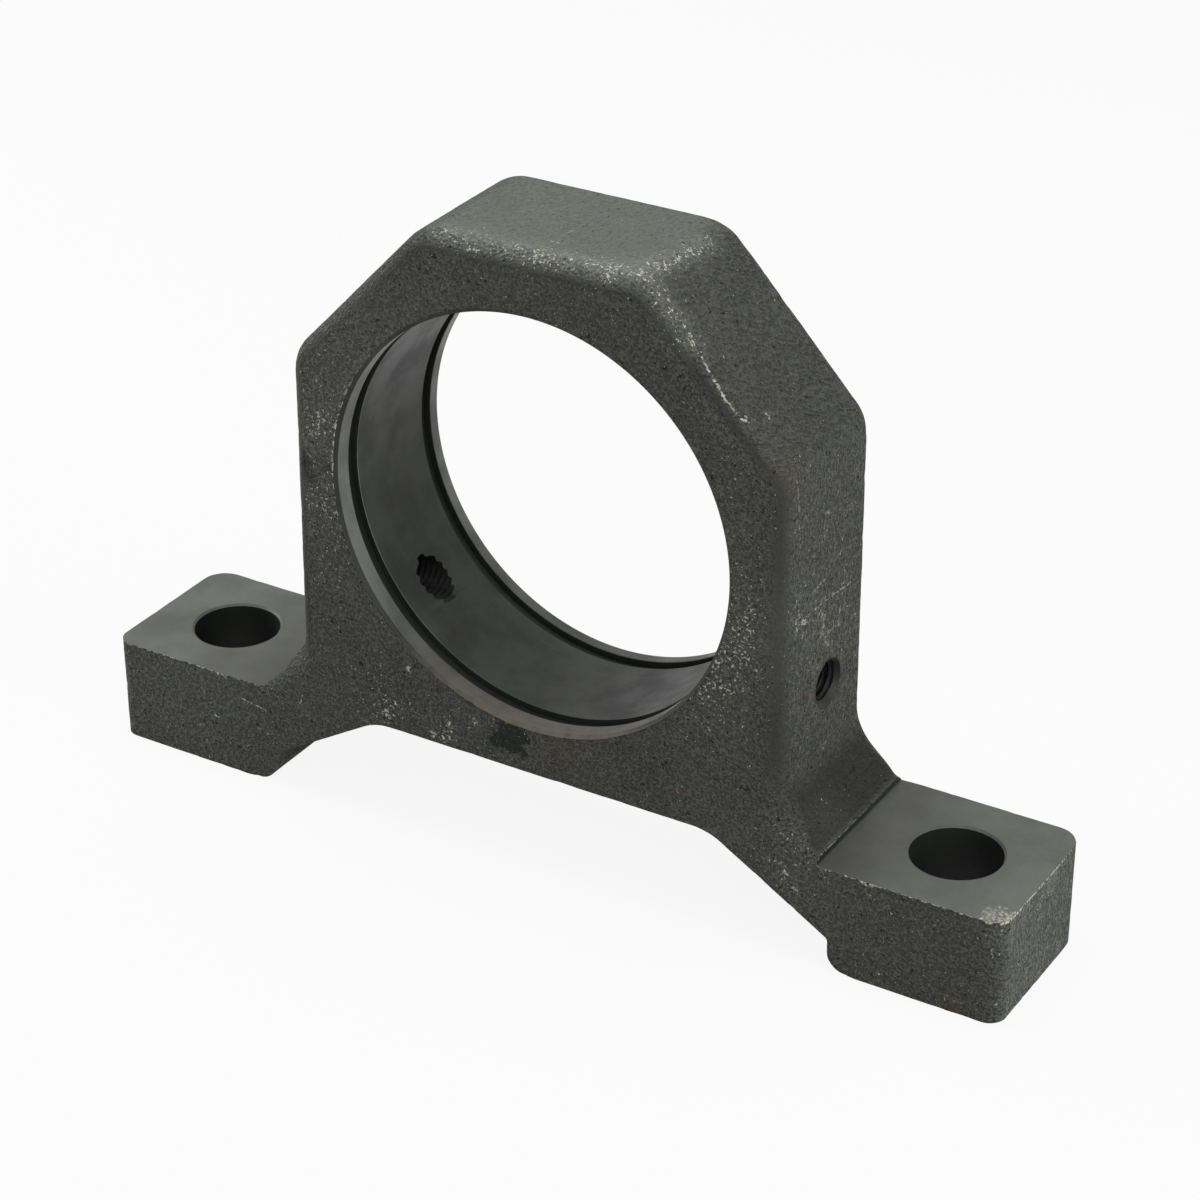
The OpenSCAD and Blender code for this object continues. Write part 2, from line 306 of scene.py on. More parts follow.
def casting_outline(s):
    """The corners of the raw casting, clockwise from the top right, and the look of the face after each.

    The left half mirrors the right one, but for the arch, which is shifted as a whole.
    """
    half_side = s.ring_width / 2 + s.side_draft
    flare_foot = s.toe_height + (s.toe_gap / 2 - half_side) * math.tan(s.flare_angle)
    nook = s.arch_height - (s.foot_gap - s.arch_flat) / 2 * math.tan(s.arch_angle)
    end, clear = s.length / 2, 0.3 * MM
    edge, rear, arch = s.ring_edge, s.rear_edge, s.arch_edge

    def half(side):
        flare = s.right_edge if side > 0 else s.left_edge
        inner, flat = s.foot_gap / 2 + side * s.arch_shift, s.arch_flat / 2 + side * s.arch_shift
        return [
            (s.top_flat / 2, s.top, s.top_corner, edge, rear),
            (s.ring_width / 2, s.axis_height + s.side_top, s.side_corner, edge, rear),
            (half_side, flare_foot, s.flare_top, flare, rear),
            (s.toe_gap / 2, s.toe_height, s.toe_radius, s.toe_edge, s.toe_edge),
            (end, s.toe_height + s.stock, s.stock, s.front_corner, s.rear_corner),
            (end, -s.stock, s.stock, s.front_corner, s.rear_corner),
            (inner + 2.5 * s.stock, -s.stock, arch, arch / 2, arch / 2),
            (inner + 1.5 * s.heel_radius, -clear, arch, arch / 2, arch / 2),
            (inner, -clear, s.heel_radius, arch, arch),
            (inner, nook, s.nook_radius, arch, arch),
            (flat, s.arch_height, s.arch_radius, arch, arch),
        ]

    names = ["slant", "side", "flare", "foot", "end", "base", "base", "base", "heel", "slope"]
    names += ["arch", *reversed(names), "top"]
    left = [(-x, *rest) for x, *rest in reversed(half(-1))]
    return half(1) + left, [FACES[name] for name in names]


def filled_rim(rim, hollow, spacing, seed):
    """Triangulates the inside of a rim over a hexagonal grid, with each grid point nudged at random.

    Points inside the circle hollow (x, z, radius) are left out, because that part is bored away.
    """
    step = np.array([spacing, spacing * math.sqrt(3) / 2])
    low, high = rim.min(0), rim.max(0)
    column, row = np.meshgrid(*(np.arange(extent // gap + 1) for extent, gap in zip(high - low, step)))
    grid = np.stack([low[0] + (column + row % 2 / 2) * step[0], low[1] + row * step[1]], -1).reshape(-1, 2)
    grid += np.random.default_rng(seed).uniform(-0.22, 0.22, grid.shape) * spacing
    grid = grid[np.hypot(grid[:, 0] - hollow[0], grid[:, 1] - hollow[1]) > hollow[2]]
    a, b = rim, np.roll(rim, -1, 0)
    kept = []
    for part in np.array_split(grid, GRID_PARTS):
        x, z = part[:, :1], part[:, 1:]
        spans = (a[:, 1] > z) != (b[:, 1] > z)
        rise = np.where(b[:, 1] == a[:, 1], 1, b[:, 1] - a[:, 1])
        crossing = a[:, 0] + (z - a[:, 1]) / rise * (b[:, 0] - a[:, 0])
        inside = (spans & (x < crossing)).sum(1) % 2 == 1
        near = np.hypot(x - a[:, 0], z - a[:, 1]).min(1)
        kept.append(part[inside & (near > 0.6 * spacing)])
    flat = np.concatenate([rim, *kept]) / MM
    count = len(rim)
    links = [(i, (i + 1) % count) for i in range(count)]
    places = [Vector(p) for p in flat.tolist()]
    found, _, triangles, *_ = geometry.delaunay_2d_cdt(places, links, [], 1, 1e-6)
    return np.array(found, float).reshape(-1, 2) * MM, np.array(triangles)


def lattice_noise(points, wavelength, seed):
    """Smooth noise from -1 to 1: random values on a cubic lattice, blended by smoothstep along each axis."""
    place = points / wavelength
    cell = np.floor(place).astype(int)
    t = place - cell
    t = t * t * (3 - 2 * t)
    cell -= cell.min(0)
    table = np.random.default_rng(seed).uniform(-1, 1, cell.max(0) + 2)
    total = np.zeros(len(points))
    for corner in np.ndindex(2, 2, 2):
        weight = np.where(corner, t, 1 - t).prod(1)
        total += weight * table[tuple((cell + corner).T)]
    return total


def sand_relief(points, skin, grain):
    """How far the sand's surface stands off the true one, never above zero.

    It is broad swell, plus grain * (lumps + grit - pits where a fourth noise is high), all lowered by a
    part of their sum.
    """
    fine = skin.lumps * lattice_noise(points, 5.5 * MM, skin.seed + 1)
    fine += skin.grit * lattice_noise(points, 2.3 * MM, skin.seed + 2)
    pits = np.clip(lattice_noise(points, 3.1 * MM, skin.seed + 3) - 0.45, 0, 0.3) / 0.3
    fine -= skin.sunk * (skin.lumps + skin.grit) + skin.pit_depth * pits
    swell = skin.swell * (lattice_noise(points, 17 * MM, skin.seed) - skin.sunk)
    return np.minimum(swell + grain * fine, 0)


# Hollows of the skin: a place in millimetres, the radius, and the depth.
HOLLOWS = [
    ((-69.5, FRONT, 107.0), 2.6, 0.8),
    ((-68.5, FRONT, 102.5), 2.2, 0.6),
    ((58.5, FRONT, 113.0), 2.4, 0.4),
    ((SIDE, -18.2, 82.6), 2.6, 0.5),
    ((SIDE, 1.0, 83.0), 1.2, 0.35),
    ((-12.0, 6.0, TOP), 2.0, 0.25),
    ((118.0, FRONT, 14.0), 2.0, 0.35),
    ((136.0, FRONT, 22.0), 1.8, 0.3),
]


def bell(points, place, radius):
    """exp(-(distance / radius) squared) round a place in millimetres."""
    away = np.linalg.norm(points - np.array(place) * MM, axis=1) / (radius * MM)
    return np.exp(-(away**2))


def point_values(piece, name):
    """A float attribute of a piece's points, as an array."""
    values = np.empty(len(piece.data.vertices), np.float32)
    piece.data.attributes[name].data.foreach_get("value", values)
    return values


def store_values(piece, name, values):
    """Writes a float attribute to a piece's points."""
    layer = piece.data.attributes.get(name) or piece.data.attributes.new(name, "FLOAT", "POINT")
    layer.data.foreach_set("value", values.astype(np.float32))


def point_places(piece):
    places = np.empty(len(piece.data.vertices) * 3)
    piece.data.vertices.foreach_get("co", places)
    return places.reshape(-1, 3)


def raw_casting(s, skin, finish):
    """The outline carried through the depth, with its front and rear edges rounded by quarter circles.

    Across the depth a point is outline - inset * normal. Round the front edge, inset = e * (1 - sin q) and
    y = -half + e * (1 - cos q) for q from 0 to a quarter turn, and the rear edge mirrors it. The attribute
    side is q as a share of the quarter turn: 0 on the front and rear faces, and 1 on the sides.
    """
    outline, normals, edges, looks = rounded_outline(*casting_outline(s), skin.spacing)
    front, rear = edges.T
    half = s.depth / 2
    quarter = np.linspace(0, math.pi / 2, EDGE_STEPS)[:, None]
    back = quarter[::-1]
    across = np.linspace(0, 1, math.ceil(s.depth / skin.spacing))[1:-1, None]
    inset = np.concatenate([front * (1 - np.sin(quarter)), across * 0 * front, rear * (1 - np.sin(back))])
    y = np.concatenate([
        -half + front * (1 - np.cos(quarter)),
        (-half + front) + across * (2 * half - front - rear),
        half - rear * (1 - np.cos(back)),
    ])
    side = np.concatenate([quarter, across * 0 + math.pi / 2, back]) * 2 / math.pi
    side = side * np.ones(len(outline))
    blend = np.clip((side - 0.3) / 0.65, 0, 1) ** 2
    tone, grain = (1 + blend * (look - 1) for look in looks.T[:2])
    upright = blend * looks.T[2]
    x, z = (outline[:, i] - inset * normals[:, i] for i in (0, 1))
    points = [np.stack([x, y, z], -1).reshape(-1, 3)]
    faces = [grid_faces(len(inset), len(outline))]
    hollow = (0, s.axis_height, BORE["dims"]["r_mm"] * MM - 2 * skin.spacing)
    for row, face_y in ((0, -half), (-1, half)):
        flat, triangles = filled_rim(np.stack([x[row], z[row]], -1), hollow, skin.spacing, skin.seed)
        start = sum(len(p) for p in points)
        points.append(np.stack([flat[:, 0], np.full(len(flat), face_y), flat[:, 1]], -1))
        faces.append(start + (triangles[:, ::-1] if row else triangles))
    piece = mesh_object("casting", np.concatenate(points), faces, [finish])
    spare = np.zeros(sum(len(p) for p in points[1:]))
    stored = {"side": (side, 0), "tone": (tone, 1), "grain": (grain, 1), "upright": (upright, 0)}
    for name, (values, on_faces) in stored.items():
        store_values(piece, name, np.concatenate([values.ravel(), spare + on_faces]))
    weld = piece.modifiers.new("weld", "WELD")
    weld.merge_threshold = 1e-6
    applied(piece)
    places = point_places(piece)
    normal = np.empty(places.size)
    piece.data.vertices.foreach_get("normal", normal)
    relief = sand_relief(places, skin, point_values(piece, "grain"))
    for place, radius, depth in HOLLOWS:
        relief -= depth * MM * bell(places, place, radius)
    piece.data.vertices.foreach_set("co", (places + relief[:, None] * normal.reshape(-1, 3)).ravel())
    piece.data.update()
    return piece


def applied(piece):
    """Replaces a piece's mesh by what its modifiers make of it."""
    depsgraph = bpy.context.evaluated_depsgraph_get()
    made = bpy.data.meshes.new_from_object(piece.evaluated_get(depsgraph))
    piece.modifiers.clear()
    old, piece.data = piece.data, made
    bpy.data.meshes.remove(old)


def closing_fans(rows, columns):
    """Triangles from the first and the last row of a grid to two poles, which follow the grid's points."""
    ring = np.arange(columns)
    beside = (ring + 1) % columns
    pole = rows * columns
    last = pole - columns
    return [
        np.stack([beside, ring, np.full(columns, pole)], 1),
        np.stack([last + ring, last + beside, np.full(columns, pole + 1)], 1),
    ]


def turned(name, along, radius, centre, axes, finishes, row_finish):
    """A closed solid of revolution, whose radius may also depend on the angle.

    Row i, column j is centre + along[i] * axes[0] + radius[i, j] * (cos a * axes[1] + sin a * axes[2]).
    Each end is closed by a fan to the axis.
    """
    rows, columns = radius.shape
    angle = np.arange(columns) * TAU / columns
    spoke = np.cos(angle)[:, None] * axes[1] + np.sin(angle)[:, None] * axes[2]
    points = centre + along[:, None, None] * axes[0] + radius[..., None] * spoke
    ends = centre + along[[0, -1], None] * axes[0]
    finish = np.concatenate([np.repeat(row_finish, columns), np.zeros(2 * columns)])
    points = np.concatenate([points.reshape(-1, 3), ends])
    faces = [grid_faces(rows, columns), *closing_fans(rows, columns)]
    return mesh_object(name, points, faces, finishes, finish)


def milled(name, corners, low, high, finishes):
    """An upright prism over a plan outline of rows x, y, radius, clockwise from above.

    Its flat ends have the first finish and its walls the second. Each end is a fan to the middle.
    """
    plan = rounded_outline(corners, [()] * len(corners), 5 * MM)[0]
    count = len(plan)
    middle = plan.mean(0)
    rings = [np.column_stack([plan, np.full(count, z)]) for z in (low, high)]
    poles = np.array([[*middle, low], [*middle, high]])
    finish = np.concatenate([np.ones(count), np.zeros(2 * count)])
    faces = [grid_faces(2, count), *closing_fans(2, count)]
    return mesh_object(name, np.concatenate([*rings, poles]), faces, finishes, finish)


def pad_plans(s, m):
    """Where the cutter runs on the right and the left foot, as plan outlines for milled.

    The left step is skewed, and has a round at its front end, from where the cutter leaves the casting.
    """
    over = m.overrun
    end, deep = s.length / 2 + over, s.depth / 2 + over
    right = [(m.right_step, deep, 0), (end, deep, 0), (end, -deep, 0), (m.right_step, -deep, 0)]
    lean, front = math.tan(m.left_skew), m.round_inset - s.depth / 2
    left = [
        (-m.left_step - lean * deep, deep, 0),
        (-m.left_step - lean * front, front, m.left_round),
        (-m.left_step - 4 * over, front - 1.5 * over, 0),
        (-end, -deep - over, 0),
        (-end, deep, 0),
    ]
    return right, left


def bore_tool(s, m, finishes):
    """The bore with its chamfers and grooves: a profile of radius along Y, turned about the axis."""
    half, over, r, b = s.depth / 2, 2 * MM, m.bore_radius, m.edge_break
    seat, land, chamfer, groove = range(4)
    edge = m.seat_width / 2
    near, far = m.seat_shift - edge, m.seat_shift + edge
    profile = [(-half - over, r + m.front_chamfer + over, chamfer), (-half + m.front_chamfer, r, land)]
    for start, after in ((near - m.groove_width, seat), (far, land)):
        stop = start + m.groove_width
        profile += [(start - b, r, land), (start, r + b, groove), (start, m.groove_radius, groove)]
        profile += [(stop, m.groove_radius, groove), (stop, r + b, land), (stop + b, r, after)]
    profile += [(half - m.rear_chamfer, r, chamfer), (half + over, r + m.rear_chamfer + over, chamfer)]
    along, radius, finish = np.array(profile).T
    axes = np.array([[0, 1, 0], [1, 0, 0], [0, 0, 1]])
    centre = np.array([0, 0, s.axis_height])
    radius = np.repeat(radius[:, None], BORE_STEPS, 1)
    return turned("bore_tool", along, radius, centre, axes, finishes, finish[:-1])


def bolt_tool(side, m, finishes):
    """A bolt hole with a chamfer at each end, turned about an upright axis."""
    r, c, over, top = m.bolt_radius, m.bolt_chamfer, 1 * MM, m.pad_height
    along = np.array([-over, c, top - c, top + over])
    radius = np.repeat(np.array([r + c + over, r, r, r + c + over])[:, None], BOLT_STEPS, 1)
    axes = np.array([[0, 0, 1], [1, 0, 0], [0, 1, 0]])
    centre = np.array([side * m.bolt_span / 2, 0, 0])
    finish = np.array([0, 1, 0])
    return turned("bolt_tool", along, radius, centre, axes, finishes, finish)


def port_tool(side, place, s, m, finishes):
    """A tapped port: the radius is the drilled one plus a tooth that climbs one pitch a turn.

    The tooth is a triangle wave of the thread's phase, cut flat at its crest and root. The countersink is
    a cone, and the larger of the two radii counts.
    """
    mouth = s.ring_width / 2 + s.side_draft
    along = np.arange(0.62 * m.bore_radius, mouth + 2 * MM, m.port_pitch / 8)
    angle = np.arange(40) * TAU / 40
    phase = along[:, None] / m.port_pitch - side * angle / TAU
    wave = abs(2 * (phase - np.floor(phase)) - 1)
    thread = m.port_radius + m.thread_depth * np.clip(1.35 * wave - 0.15, 0, 1)
    cone = (m.port_mouth + along - mouth)[:, None]
    axes = np.array([[side, 0, 0], [0, 1, 0], [0, 0, 1]])
    centre = np.array([0, place[1], place[2]])
    finish = np.where(along[:-1] > mouth - (m.port_mouth - m.port_radius), 1, 0)
    return turned("port_tool", along, np.maximum(thread, cone), centre, axes, finishes, finish)


def cut(piece, tool):
    """Takes the tool's solid out of the piece. The cut faces keep the tool's finish."""
    step = piece.modifiers.new("cut", "BOOLEAN")
    step.operation = "DIFFERENCE"
    step.solver = "MANIFOLD"
    step.material_mode = "TRANSFER"
    step.object = tool
    applied(piece)
    mesh = tool.data
    bpy.data.objects.remove(tool)
    bpy.data.meshes.remove(mesh)


def rim_values(mesh, finish):
    """One for each point on the border between the faces of a finish and the others, and zero elsewhere."""
    counts = [np.empty(len(mesh.polygons), np.int32) for _ in range(2)]
    mesh.polygons.foreach_get("loop_total", counts[0])
    mesh.polygons.foreach_get("material_index", counts[1])
    own = np.repeat(counts[1] == finish, counts[0])
    edge = np.empty(len(mesh.loops), np.int32)
    mesh.loops.foreach_get("edge_index", edge)
    border = np.bincount(edge[own], minlength=len(mesh.edges)) == 1
    ends = np.empty(len(mesh.edges) * 2, np.int32)
    mesh.edges.foreach_get("vertices", ends)
    rim = np.zeros(len(mesh.vertices))
    rim[ends.reshape(-1, 2)[border]] = 1
    return rim


def put(tree, kind, inputs=None, **settings):
    """Adds a node. Each input is set, or linked where its value is a socket."""
    node = tree.nodes.new(kind)
    for key, value in settings.items():
        setattr(node, key, value)
    for key, value in (inputs or {}).items():
        if isinstance(value, bpy.types.NodeSocket):
            tree.links.new(value, node.inputs[key])
        else:
            node.inputs[key].default_value = value
    return node


def work_out(tree, operation, *values):
    """A math node's result. Values are numbers or sockets."""
    return put(tree, "ShaderNodeMath", dict(enumerate(values)), operation=operation).outputs[0]


def product(tree, *values):
    total = values[0]
    for value in values[1:]:
        total = work_out(tree, "MULTIPLY", total, value)
    return total


def ramp(tree, value, low, high, to_low=0.0, to_high=1.0):
    """Maps low..high to to_low..to_high by smoothstep."""
    inputs = {"Value": value, "From Min": low, "From Max": high, "To Min": to_low, "To Max": to_high}
    return put(tree, "ShaderNodeMapRange", inputs, interpolation_type="SMOOTHSTEP").outputs["Result"]


def blend(tree, factor, low, high):
    """Mixes two colours."""
    inputs = {0: factor, 6: low, 7: high}
    return put(tree, "ShaderNodeMix", inputs, data_type="RGBA").outputs[2]


def toned(tree, base, tone):
    """A colour times a number."""
    return put(tree, "ShaderNodeVectorMath", {0: base, "Scale": tone}, operation="SCALE").outputs[0]


def noise(tree, vector, scale, detail=2.0, roughness=0.5):
    inputs = {"Vector": vector, "Scale": scale, "Detail": detail, "Roughness": roughness}
    return put(tree, "ShaderNodeTexNoise", inputs).outputs["Fac"]


def stretched(tree, vector, scale):
    """A place with each of its axes scaled."""
    return put(tree, "ShaderNodeMapping", {"Vector": vector, "Scale": scale}).outputs[0]


def coordinate(tree, place, axis):
    return put(tree, "ShaderNodeSeparateXYZ", {0: place}).outputs[axis]


def attribute(tree, name):
    return put(tree, "ShaderNodeAttribute", attribute_name=name).outputs["Fac"]


def new_group(name, inputs, output):
    """An empty shader node group with one output. A row of inputs is name, type and default."""
    group = bpy.data.node_groups.new(name, "ShaderNodeTree")
    for label, kind, value in inputs:
        socket = group.interface.new_socket(label, in_out="INPUT", socket_type=kind)
        if value is not None:
            socket.default_value = value
    group.interface.new_socket(output, in_out="OUTPUT", socket_type=FLOAT)
    return group, put(group, "NodeGroupInput").outputs, put(group, "NodeGroupOutput").inputs[0]


FLOAT, VECTOR = "NodeSocketFloat", "NodeSocketVector"


def sand_grain(tree, place, upright, coarse):
    """Sand grain: wrinkles and rounded grains for the height, from about -0.2 to 0.2, and ragged pits.

    The wrinkles run mostly along Y, and upright where upright is one. Coarse scales the height.
    """
    turn = tuple(math.radians(angle) for angle in (-20, 0, -18))
    lie = {"Vector": place, "Rotation": turn, "Scale": (1, 2.2, 1)}
    lying = put(tree, "ShaderNodeMapping", lie, vector_type="TEXTURE").outputs[0]
    along = noise(tree, lying, 1150.0, 1.0, 0.5)
    standing = noise(tree, stretched(tree, place, (1, 1, 0.5)), 1150.0, 1.0, 0.5)
    wrinkles = put(tree, "ShaderNodeMix", {0: upright, 2: along, 3: standing}).outputs[0]
    cells = {"Vector": place, "Scale": 1300.0, "Smoothness": 0.3}
    distance = put(tree, "ShaderNodeTexVoronoi", cells, feature="SMOOTH_F1").outputs["Distance"]
    height = work_out(tree, "SUBTRACT", product(tree, wrinkles, 0.7), product(tree, distance, 0.35))
    height = work_out(tree, "ADD", height, -0.2)
    deep = noise(tree, place, 700.0, 2.0, 0.6)
    limit = ramp(tree, coarse, 0.0, 0.28, 0.78, 0.655)
    pits = ramp(tree, work_out(tree, "SUBTRACT", deep, limit), 0.0, 0.06)
    return product(tree, work_out(tree, "SUBTRACT", height, product(tree, pits, 0.15)), coarse), pits


def glint_and_wear_specks(tree, place, amount):
    """Small pale specks, partly worn bare iron and partly painted glints: where a fine noise passes a limit,
    which falls as amount rises.
    """
    level = noise(tree, place, 1100.0, 2.0, 0.6)
    broad = work_out(tree, "SUBTRACT", noise(tree, place, 160.0), 0.5)
    for part in (product(tree, broad, 0.25), product(tree, amount, 0.27)):
        level = work_out(tree, "ADD", level, part)
    return ramp(tree, level, 0.73, 0.77)


def mottle_group():
    """Broad clouding of a surface between two values."""
    inputs = [("Vector", VECTOR, None), ("Scale", FLOAT, 20.0), ("Low", FLOAT, 0.0), ("High", FLOAT, 1.0)]
    group, given, out = new_group("Mottling", inputs, "Value")
    cloud = noise(group, given["Vector"], given["Scale"], 4.0, 0.6)
    group.links.new(ramp(group, cloud, 0.3, 0.7, given["Low"], given["High"]), out)
    return group


def stroke_group():
    """A straight mark: one inside Width of the line from Start to End, broken up by noise."""
    inputs = [
        ("Vector", VECTOR, None),
        ("Start", VECTOR, (0, 0, 0)),
        ("End", VECTOR, (0, 0, 1)),
        ("Width", FLOAT, 0.0003),
    ]
    group, given, out = new_group("Stroke", inputs, "Mask")

    def vector(operation, a, b=None, output=0):
        values = {0: a} if b is None else {0: a, 1: b}
        return put(group, "ShaderNodeVectorMath", values, operation=operation).outputs[output]

    run = vector("SUBTRACT", given["End"], given["Start"])
    away = vector("SUBTRACT", given["Vector"], given["Start"])
    gone, whole = (vector("DOT_PRODUCT", way, run, "Value") for way in (away, run))
    part = work_out(group, "DIVIDE", gone, whole)
    held = put(group, "ShaderNodeClamp", {"Value": part}).outputs[0]
    scaled = put(group, "ShaderNodeVectorMath", {0: run, "Scale": held}, operation="SCALE").outputs[0]
    off = vector("LENGTH", vector("SUBTRACT", away, scaled), None, "Value")
    ragged = noise(group, given["Vector"], 1100.0, 2.0)
    reach = product(group, given["Width"], ramp(group, ragged, 0.42, 0.62, 0.1, 1.7))
    group.links.new(ramp(group, work_out(group, "DIVIDE", off, reach), 1.1, 0.1), out)
    return group


def smudge_group():
    """A dark splash with a ragged edge, round Centre. Its reach is Radius, changed by noise."""
    inputs = [("Vector", VECTOR, None), ("Centre", VECTOR, (0, 0, 0)), ("Radius", FLOAT, 0.006)]
    group, given, out = new_group("Smudge", inputs, "Mask")
    away = put(group, "ShaderNodeVectorMath", {0: given["Vector"], 1: given["Centre"]}, operation="DISTANCE")
    ragged = noise(group, given["Vector"], 260.0, 3.0, 0.6)
    reach = product(group, given["Radius"], ramp(group, ragged, 0.3, 0.7, 0.55, 1.35))
    ratio = work_out(group, "DIVIDE", away.outputs["Value"], reach)
    group.links.new(ramp(group, ratio, 1.08, 0.92), out)
    return group


def use(tree, group, place, **values):
    """Places a node group in a material with its own values. Returns its one output."""
    return put(tree, "ShaderNodeGroup", {"Vector": place, **values}, node_tree=group).outputs[0]


def surface(name, specular):
    """A material with one Principled shader. Returns it with its tree and its shader."""
    material = bpy.data.materials.new(name)
    material.use_nodes = True
    tree = material.node_tree
    shader = tree.nodes["Principled BSDF"]
    shader.inputs["Specular IOR Level"].default_value = specular
    return material, tree, shader


def object_place(tree):
    return put(tree, "ShaderNodeTexCoord").outputs["Object"]


def finish_off(tree, shader, base, roughness, height, depth):
    """Links colour, roughness and bump. Depth is the height of the bump in metres."""
    bump = put(tree, "ShaderNodeBump", {"Height": height, "Distance": depth, "Strength": 1.0})
    tree.links.new(base, shader.inputs["Base Color"])
    tree.links.new(roughness, shader.inputs["Roughness"])
    tree.links.new(bump.outputs["Normal"], shader.inputs["Normal"])


def opaque(rgb):
    return (*rgb, 1.0)


# The dark splash at the lower rim of the bore: its middle in millimetres, and its radius.
SPLASH = {"Centre": (-6.5 * MM, -24.5 * MM, 41.0 * MM), "Radius": 6.0 * MM}
# The rubbed corner of the right pad.
CORNER = {"Centre": (138 * MM, -22 * MM, 31.1 * MM), "Radius": 6 * MM}


# Pale marks on the skin: both ends in millimetres, the half width in millimetres, and the strength.
STROKES = [
    ((44.5, -19, 170), (50.5, -20.5, 163), 0.3, 0.7),
    ((50.5, -20.5, 163), (57, -21.5, 155.5), 0.4, 0.8),
    ((57, -21.5, 155.5), (61.5, -21, 151), 0.4, 0.8),
    ((61.5, -20, 151.5), (62, -20, 151), 0.65, 1),
    ((63.5, -12.5, 150), (64, -12.5, 149), 0.5, 0.9),
    ((74.5, -16.5, 135.5), (75, -15.5, 126), 0.3, 0.4),
    ((75, -15.5, 126), (75, -14.5, 115.5), 0.3, 0.3),
    ((75, -17.5, 122.5), (75, -17.5, 122), 0.5, 0.6),
    ((75, -1.5, 120.5), (75, 3, 118.5), 0.4, 0.5),
    ((SIDE, -6, 94.5), (SIDE, 4.5, 94), 0.4, 0.55),
    ((SIDE, 5, 94), (SIDE, 14, 93), 0.4, 0.6),
    ((SIDE, -8.5, 100), (SIDE, -0.5, 101), 0.4, 0.5),
    ((SIDE, 8.5, 88), (SIDE, 8, 83.5), 0.5, 0.5),
    ((SIDE, 7, 83.5), (SIDE, -0.5, 84.5), 0.4, 0.55),
    ((SIDE, -2, 92.5), (SIDE, 0, 88), 0.6, 0.3),
    ((SIDE, 0, 88), (SIDE, -2, 84.5), 0.7, 0.45),
    ((SIDE, 1.5, 82.5), (SIDE, 2.5, 80), 1, 0.3),
    ((0, -13, TOP), (3.5, -13, TOP), 0.3, 0.5),
    ((1.5, -9, TOP), (2.5, -4, TOP), 0.3, 0.2),
    ((75.5, 4, 52), (75.5, -0.5, 48.5), 0.4, 0.3),
    ((-97, FRONT, 25), (-88, FRONT, 23.5), 0.25, 0.7),
    ((-76, FRONT, 29.5), (-75, -24.5, 33), 0.25, 0.5),
    ((-106.5, FRONT, 16.5), (-105.5, FRONT, 16), 0.4, 0.9),
    ((-25.5, FRONT, 39), (-25.5, FRONT, 38.5), 0.6, 1),
    ((-25.5, FRONT, 37), (-25.5, FRONT, 36.5), 0.75, 1),
    ((-26, FRONT, 34), (-25.5, FRONT, 34), 0.8, 1),
    ((-28, FRONT, 34), (-27.5, FRONT, 33.5), 0.8, 1),
    ((-31.5, FRONT, 34), (-31, FRONT, 33), 0.8, 0.8),
    ((-46.5, FRONT, 36.5), (-46.5, FRONT, 35), 0.8, 0.9),
    ((-46, FRONT, 35), (-45.5, FRONT, 34.5), 0.6, 0.9),
    ((-17.5, FRONT, 42), (-17, FRONT, 41.5), 0.75, 0.8),
    ((-38.5, FRONT, 52.5), (-38.5, FRONT, 52), 0.7, 0.8),
    ((78.5, FRONT, 26.5), (79.5, FRONT, 26), 0.7, 0.9),
    ((81, FRONT, 22), (82, FRONT, 21.5), 0.8, 0.7),
]
RUST_SPOTS = [
    ((SIDE, -7.5, 70.5), (SIDE, -7, 69), 0.45, 0.7),
    ((46, FRONT, 40.5), (46.5, FRONT, 40), 0.4, 0.9),
]


def struck(tree, place, group, listed, mask):
    """Adds a list of strokes to a mask. Where they overlap, the larger value counts."""
    for start, end, width, strength in listed:
        start, end = (tuple(Vector(point) * MM) for point in (start, end))
        mark = use(tree, group, place, Start=start, End=end, Width=width * MM)
        mask = work_out(tree, "MAXIMUM", mask, product(tree, mark, strength))
    return mask


